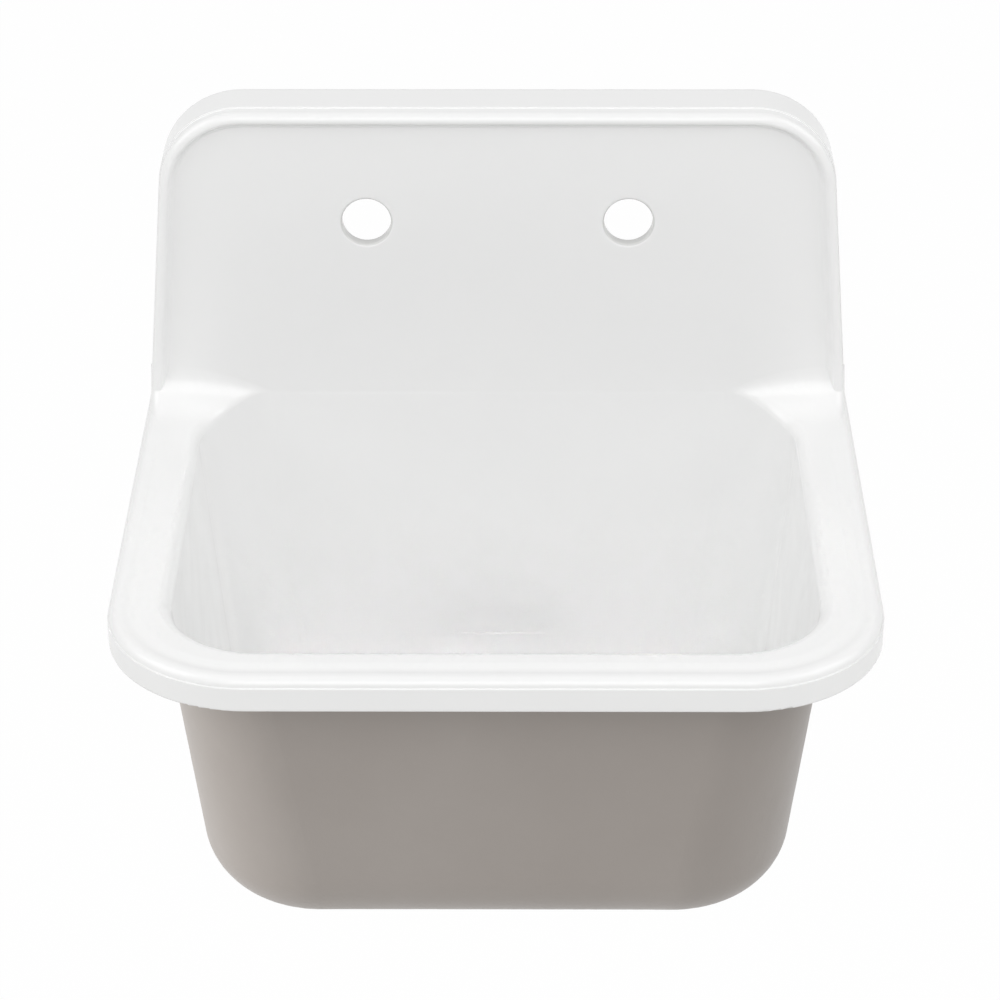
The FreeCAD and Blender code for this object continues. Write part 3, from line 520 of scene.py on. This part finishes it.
class Finisher:
    """Puts finishes on CAD nodes and on new pieces."""

    def __init__(self, nodes: dict[str, bpy.types.Object]) -> None:
        """Build the shared groups and every material.

        Args:
            nodes: CAD objects by node name.
        """
        self.nodes = nodes
        groups = EffectGroups()
        self.materials = {slot: finish.material(groups) for slot, finish in FINISHES.items()}

    def dress(self, node: str, slot: Slot) -> None:
        """Give a CAD node its finish.

        Args:
            node: Node name.
            slot: Slot whose finish it takes.
        """
        piece = self.nodes[node]
        piece.data.materials.clear()
        piece.data.materials.append(self.materials[slot])
        LOG.info("dressed %s in %s", node, slot.value)

    def make(self, name: str, work: bmesh.types.BMesh, body: Body, slot: Slot) -> bpy.types.Object:
        """Turn a finished bmesh into a piece that rides on a body.

        Args:
            name: Name of the piece.
            work: Its shape, in the row frame; freed here.
            body: Body that it moves with.
            slot: Slot whose finish it takes.

        Returns:
            The new piece.
        """
        bmesh.ops.remove_doubles(work, verts=work.verts, dist=WELD)
        bmesh.ops.recalc_face_normals(work, faces=work.faces)
        mesh = bpy.data.meshes.new(name)
        work.to_mesh(mesh)
        work.free()
        for face in mesh.polygons:
            face.use_smooth = True
        mesh.set_sharp_from_angle(angle=SHARP_ANGLE)
        return self.place(name, mesh, body, slot)

    def place(self, name: str, mesh: bpy.types.Mesh, body: Body, slot: Slot) -> bpy.types.Object:
        """Put a finished mesh in the scene.

        Args:
            name: Name of the piece.
            mesh: Its shape, in the row frame.
            body: Body that it moves with.
            slot: Slot whose finish it takes.

        Returns:
            The new piece.
        """
        mesh.materials.clear()
        mesh.materials.append(self.materials[slot])
        piece = bpy.data.objects.new(name, mesh)
        bpy.context.scene.collection.objects.link(piece)
        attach(piece, body.value)
        LOG.info("made %s with %d faces", name, len(mesh.polygons))
        return piece


@dataclass
class SinkCasting:
    """Iron casting with its enamel."""

    iron: str = "sink_casting"
    enamel: str = "enamel_coat"
    panel_y: float = -42.0 * MM
    bowl_top_z: float = -48.0 * MM
    ledge: float = 0.12 * MM
    rim_z: float = -60.0 * MM
    shelf_y: float = -74.0 * MM
    shelf_x: float = 255.0 * MM
    groove: float = 1.0 * MM
    near: float = 0.05 * MM

    def build(self, finisher: Finisher) -> None:
        """Let the enamel flow over two hairline steps of the solid.

        One is the ledge above the bowl's back wall. The other is where the rim's groove meets the
        flat shelf at the foot of the backsplash, and there the groove's end rises to the shelf.

        Args:
            finisher: Maker of new pieces.
        """
        mesh = finisher.nodes[self.enamel].data.copy()
        for vertex in mesh.vertices:
            spot = vertex.co
            if abs(spot.z - self.bowl_top_z) < self.ledge and abs(spot.y - self.panel_y) < self.ledge:
                spot.y = self.panel_y
            in_groove = abs(spot.x) > self.shelf_x and 0.0 < self.rim_z - spot.z < self.groove
            if in_groove and abs(spot.y - self.shelf_y) < self.near:
                spot.z = self.rim_z
        skin = finisher.place("enamel_skin", mesh, Body.SINK, Slot.ENAMEL)
        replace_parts(skin, self.enamel)

    def dress(self, finisher: Finisher) -> None:
        """Prime the iron and enamel the finished faces."""
        finisher.dress(self.iron, Slot.PRIMER)
        finisher.dress(self.enamel, Slot.ENAMEL)


@dataclass(frozen=True)
class LagScrew:
    """Hex-head lag screw along +Y, its base on the wall plane."""

    flats: float = 13.0 * MM
    head: float = 5.5 * MM
    under_head: float = 6.6 * MM
    head_chamfer: float = 0.7 * MM
    shank_r: float = 3.4 * MM
    core_r: float = 3.05 * MM
    crest_r: float = 4.0 * MM
    ridge: float = 1.1 * MM
    pitch: float = 3.2 * MM
    length: float = 58.0 * MM
    point: float = 9.0 * MM
    tip_r: float = 0.35 * MM
    thread_start: float = 1.8 * MM
    around: int = 28
    head_sides: int = 6
    chamfer_steps: int = 2
    chamfer_profile: float = 0.5
    root_share: float = 0.96

    @property
    def corner_r(self) -> float:
        """Distance from the axis to a corner of the head."""
        return self.flats / math.sqrt(3.0)

    def build(self, work: bmesh.types.BMesh, base: Vector) -> None:
        """Add one screw.

        Args:
            work: Shape to add to.
            base: Point of the screw's axis on the wall plane.
        """
        self._head(work, base)
        self._stem(work, base)
        self._thread(work, base)

    def _head(self, work: bmesh.types.BMesh, base: Vector) -> None:
        """Hex head with a chamfered front.

        Args:
            work: Shape to add to.
            base: Point of the screw's axis on the wall plane.
        """
        middle = base + Vector((0.0, -self.under_head - self.head / 2, 0.0))
        place = Matrix.Translation(middle) @ Matrix.Rotation(QUARTER_TURN, 4, "X")
        made = bmesh.ops.create_cone(work, cap_ends=True, segments=self.head_sides, radius1=self.corner_r,
                                     radius2=self.corner_r, depth=self.head, matrix=place)
        front = {vert for vert in made["verts"] if vert.co.y < middle.y}
        rim = {edge for vert in front for edge in vert.link_edges if set(edge.verts) <= front}
        bmesh.ops.bevel(work, geom=list(rim), offset=self.head_chamfer, segments=self.chamfer_steps,
                        profile=self.chamfer_profile, affect="EDGES", material=-1)

    def _stem(self, work: bmesh.types.BMesh, base: Vector) -> None:
        """Shank, threaded core and point, turned round the axis.

        Args:
            work: Shape to add to.
            base: Point of the screw's axis on the wall plane.
        """
        profile = ((self.shank_r, -self.under_head - self.head / 2), (self.shank_r, 0.0),
                   (self.core_r, self.thread_start), (self.core_r, self.length - self.point),
                   (self.tip_r, self.length))
        verts = [work.verts.new(base + Vector((radius, along, 0.0))) for radius, along in profile]
        edges = [work.edges.new(pair) for pair in zip(verts, verts[1:])]
        bmesh.ops.spin(work, geom=verts + edges, cent=base, axis=AXIS_Y, angle=FULL_TURN,
                       steps=self.around, use_merge=True)

    def _thread(self, work: bmesh.types.BMesh, base: Vector) -> None:
        """Helical ridge that runs out at the start and on the point.

        Args:
            work: Shape to add to.
            base: Point of the screw's axis on the wall plane.
        """
        turns = (self.length - self.thread_start - self.ridge) / self.pitch
        steps = round(turns * self.around)
        section = ((self.core_r, 0.0), (self.crest_r, self.ridge / 2), (self.core_r, self.ridge))
        root = self.core_r * self.root_share
        before = set(work.verts)
        verts = [work.verts.new(base + Vector((radius, self.thread_start + along, 0.0)))
                 for radius, along in section]
        edges = [work.edges.new(pair) for pair in zip(verts, verts[1:])]
        bmesh.ops.spin(work, geom=verts + edges, cent=base, axis=AXIS_Y, angle=turns * FULL_TURN,
                       dvec=(0.0, turns * self.pitch / steps, 0.0), steps=steps)
        for vert in set(work.verts) - before:
            arm = vert.co - base
            along = arm.y
            arm.y = 0.0
            rise = min(1.0, max(0.0, (along - self.thread_start) / self.pitch))
            run_out = min(1.0, max(self.tip_r / self.core_r, (self.length - along) / self.point))
            reach = (root + (arm.length - root) * rise) * run_out
            vert.co = base + arm.normalized() * reach + Vector((0.0, along, 0.0))


@dataclass
class WallHanger:
    """Z-rail on the wall with its screws and washers."""

    rail: str = "wall_hanger"
    screws: str = "hanger_screws"
    washers: str = "hanger_washers"
    screw: LagScrew = field(default_factory=LagScrew)

    def build(self, finisher: Finisher) -> None:
        """Cut real threads on the four screws.

        Args:
            finisher: Maker of new pieces.
        """
        _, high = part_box(self.screws)
        reach_x = high[0] - self.screw.flats / 2
        reach_z = high[2] - self.screw.corner_r
        work = bmesh.new()
        for side in (-1, 1):
            for row in (-1, 1):
                self.screw.build(work, Vector((side * reach_x, 0.0, row * reach_z)))
        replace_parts(finisher.make("lag_screws", work, Body.HANGER, Slot.SCREW), self.screws)

    def dress(self, finisher: Finisher) -> None:
        """Plate the rail, its screws and its washers.

        Args:
            finisher: Keeper of the finishes.
        """
        finisher.dress(self.rail, Slot.HANGER)
        finisher.dress(self.screws, Slot.SCREW)
        finisher.dress(self.washers, Slot.SCREW)


@dataclass
class DrainStrainer:
    """Strainer, seals, locknut and tailpiece under the bowl."""

    finishes: dict[str, Slot] = field(default_factory=lambda: {
        "strainer_body": Slot.STAINLESS, "putty_seal": Slot.PUTTY, "drain_gasket": Slot.RUBBER,
        "friction_ring": Slot.FIBRE, "lock_nut": Slot.CAST_NUT, "tailpiece_washer": Slot.SEAL,
        "tailpiece": Slot.CHROME, "coupling_nut": Slot.BRASS})
    seal: str = "putty_seal"
    bead_gap: float = 0.7 * MM
    bead_width: float = 1.5 * MM
    bead_rise: float = 2.3 * MM
    bead_wobble: float = 0.35 * MM
    bead_around: int = 160
    bead_steps: int = 8
    bead_waves: float = 140.0

    def build(self, finisher: Finisher) -> None:
        """Squeeze a bead of putty out round the strainer's flange.

        Args:
            finisher: Maker of new pieces.
        """
        low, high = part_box(self.seal)
        centre = Vector(((low[0] + high[0]) / 2, (low[1] + high[1]) / 2, low[2]))
        inner = (high[0] - low[0]) / 2 + self.bead_gap
        work = bmesh.new()
        arch = [math.pi * step / self.bead_steps for step in range(self.bead_steps + 1)]
        verts = [work.verts.new(centre + Vector((inner + self.bead_width * (1 - math.cos(angle)) / 2, 0.0,
                                                 self.bead_rise * math.sin(angle)))) for angle in arch]
        edges = [work.edges.new(pair) for pair in zip(verts, verts[1:])]
        bmesh.ops.spin(work, geom=verts + edges, cent=centre, axis=AXIS_Z, angle=FULL_TURN,
                       steps=self.bead_around, use_merge=True)
        for vert in work.verts:
            lift = (vert.co.z - centre.z) / self.bead_rise
            vert.co.z += lift * self.bead_wobble * noise.noise(vert.co * self.bead_waves)
        finisher.make("putty_squeeze_out", work, Body.SINK, Slot.PUTTY)

    def dress(self, finisher: Finisher) -> None:
        """Finish each drain fitting."""
        for node, slot in self.finishes.items():
            finisher.dress(node, slot)


@dataclass
class LiftOutBasket:
    """Basket, post, knob and stopper that lift out of the strainer."""

    finishes: dict[str, Slot] = field(default_factory=lambda: {
        "basket_cup": Slot.STAINLESS, "basket_post": Slot.STAINLESS, "basket_knob": Slot.CHROME,
        "stopper_seal": Slot.RUBBER, "stopper_nut": Slot.BRASS})

    def dress(self, finisher: Finisher) -> None:
        """Finish each basket piece."""
        for node, slot in self.finishes.items():
            finisher.dress(node, slot)


@dataclass(frozen=True)
class SoftLamp:
    """One area lamp of the studio; a strip, a narrow beam or a lamp for one node where it says so."""

    name: str
    power: float
    place: Point
    size: float
    aim: Point = (0.0, -0.25, -0.05)
    spread: float = 180.0
    strip: float | None = None
    only: str | None = None

    def build(self, nodes: dict[str, bpy.types.Object]) -> None:
        """Hang the lamp and turn it to its aim.

        Args:
            nodes: CAD objects by node name.
        """
        data = bpy.data.lights.new(self.name, "AREA")
        data.energy = self.power
        data.size = self.size
        data.spread = math.radians(self.spread)
        if self.strip is not None:
            data.shape = "RECTANGLE"
            data.size_y = self.strip
        lamp = bpy.data.objects.new(self.name, data)
        bpy.context.scene.collection.objects.link(lamp)
        lamp.location = self.place
        line = Vector(self.aim) - Vector(self.place)
        lamp.rotation_euler = line.to_track_quat("-Z", "Y").to_euler()
        if self.only is not None:
            lit = bpy.data.collections.new(f"{self.name}_lights")
            lit.objects.link(nodes[self.only])
            lamp.light_linking.receiver_collection = lit


@dataclass
class Studio:
    """Floor, world, lamps and camera."""

    floor_level: float = -0.974
    floor_size: float = 14.0
    floor_tone: Colour = (0.88, 0.88, 0.87)
    floor_glow: float = 0.985
    dome: float = 0.443
    lamps: tuple[SoftLamp, ...] = (
        SoftLamp("front_high", power=25.0, place=(0.0, -2.6, 1.6), size=2.0),
        SoftLamp("left_wide", power=26.1, place=(-2.2, -0.7, 1.7), size=2.1),
        SoftLamp("right_wide", power=23.9, place=(2.2, -0.7, 1.7), size=2.1),
        SoftLamp("bowl_beam", power=0.045, place=(0.0, -2.0, 2.0), size=0.46, aim=(0.0, -0.1, -0.28),
                 spread=4.5, strip=0.08),
        SoftLamp("left_side", power=31.1, place=(-2.6, -0.8, -0.35), size=0.8, aim=(0.0, -0.3, -0.2),
                 only="sink_casting"),
    )
    lens: float = 124.45
    sensor_width: float = 36.0
    far_clip: float = 50.0
    camera_place: Point = (0.014, -2.482, 1.227)
    pitch: float = 29.43
    yaw: float = -0.29
    roll: float = -0.08

    def build(self, nodes: dict[str, bpy.types.Object]) -> None:
        """Set up everything that isn't the sink.

        Args:
            nodes: CAD objects by node name.
        """
        self._floor()
        self._world()
        for lamp in self.lamps:
            lamp.build(nodes)
        self._camera()
        bpy.context.scene.view_settings.view_transform = "Standard"

    @staticmethod
    def _background_ray(bench: NodeBench) -> bpy.types.NodeSocket:
        """Mask of the rays that should see plain white.

        Args:
            bench: Bench of a world or a material.

        Returns:
            Socket that is 1 for camera, glossy and transmission rays.
        """
        path = bench.add("ShaderNodeLightPath")
        seen = bench.math("MAXIMUM", path.outputs["Is Camera Ray"], path.outputs["Is Glossy Ray"])
        return bench.math("MAXIMUM", seen, path.outputs["Is Transmission Ray"])

    def _floor(self) -> None:
        """Plain pale floor below the sink."""
        mesh = bpy.data.meshes.new("floor")
        work = bmesh.new()
        bmesh.ops.create_grid(work, x_segments=1, y_segments=1, size=self.floor_size / 2,
                              matrix=Matrix.Translation((0.0, 0.0, self.floor_level)))
        work.to_mesh(mesh)
        work.free()
        floor = bpy.data.objects.new("floor", mesh)
        bpy.context.scene.collection.objects.link(floor)
        material = bpy.data.materials.new("pale_floor")
        material.use_nodes = True
        material.node_tree.nodes.clear()
        bench = NodeBench(material.node_tree)
        output = bench.add("ShaderNodeOutputMaterial")
        paint = bench.add("ShaderNodeBsdfDiffuse")
        paint.inputs["Color"].default_value = rgba(self.floor_tone)
        glow = bench.add("ShaderNodeEmission")
        glow.inputs["Color"].default_value = rgba(WHITE)
        mix = bench.add("ShaderNodeMixShader")
        bench.link(bench.math("MULTIPLY", self._background_ray(bench), self.floor_glow), mix.inputs["Fac"])
        bench.link(paint.outputs["BSDF"], mix.inputs[1])
        bench.link(glow.outputs["Emission"], mix.inputs[2])
        bench.link(mix.outputs["Shader"], output.inputs["Surface"])
        mesh.materials.append(material)

    def _world(self) -> None:
        """Even white dome, plain white where the background is seen."""
        world = bpy.data.worlds.new("studio_dome")
        bpy.context.scene.world = world
        world.use_nodes = True
        world.node_tree.nodes.clear()
        bench = NodeBench(world.node_tree)
        output = bench.add("ShaderNodeOutputWorld")
        light = bench.add("ShaderNodeBackground")
        light.inputs["Strength"].default_value = self.dome
        seen = bench.add("ShaderNodeBackground")
        seen.inputs["Strength"].default_value = 1.0
        for node in (light, seen):
            node.inputs["Color"].default_value = rgba(WHITE)
        mix = bench.add("ShaderNodeMixShader")
        bench.link(self._background_ray(bench), mix.inputs["Fac"])
        bench.link(light.outputs["Background"], mix.inputs[1])
        bench.link(seen.outputs["Background"], mix.inputs[2])
        bench.link(mix.outputs["Shader"], output.inputs["Surface"])

    def _camera(self) -> None:
        """Camera at the photograph's place and angle."""
        pitch, yaw, roll = (math.radians(value) for value in (self.pitch, self.yaw, self.roll))
        ahead = Vector((math.sin(yaw) * math.cos(pitch), math.cos(yaw) * math.cos(pitch), -math.sin(pitch)))
        level = Vector((math.cos(yaw), -math.sin(yaw), 0.0))
        rise = level.cross(ahead)
        right = level * math.cos(roll) + rise * math.sin(roll)
        up = rise * math.cos(roll) - level * math.sin(roll)
        data = bpy.data.cameras.new("photo_camera")
        data.lens = self.lens
        data.sensor_width = self.sensor_width
        data.clip_end = self.far_clip
        camera = bpy.data.objects.new("photo_camera", data)
        bpy.context.scene.collection.objects.link(camera)
        turn = Matrix((right, up, -ahead)).transposed().to_4x4()
        camera.matrix_world = Matrix.Translation(self.camera_place) @ turn
        bpy.context.scene.camera = camera


def main() -> None:
    """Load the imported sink, dress it and set up the studio."""
    logging.basicConfig(level=logging.INFO, format="%(name)s: %(message)s")
    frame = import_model()
    finisher = Finisher(frame["nodes"])
    casting = SinkCasting()
    hanger = WallHanger()
    drain = DrainStrainer()
    for assembly in (casting, hanger, drain, LiftOutBasket()):
        assembly.dress(finisher)
    for assembly in (casting, hanger, drain):
        assembly.build(finisher)
    Studio().build(frame["nodes"])


if __name__ == "__main__":
    main()
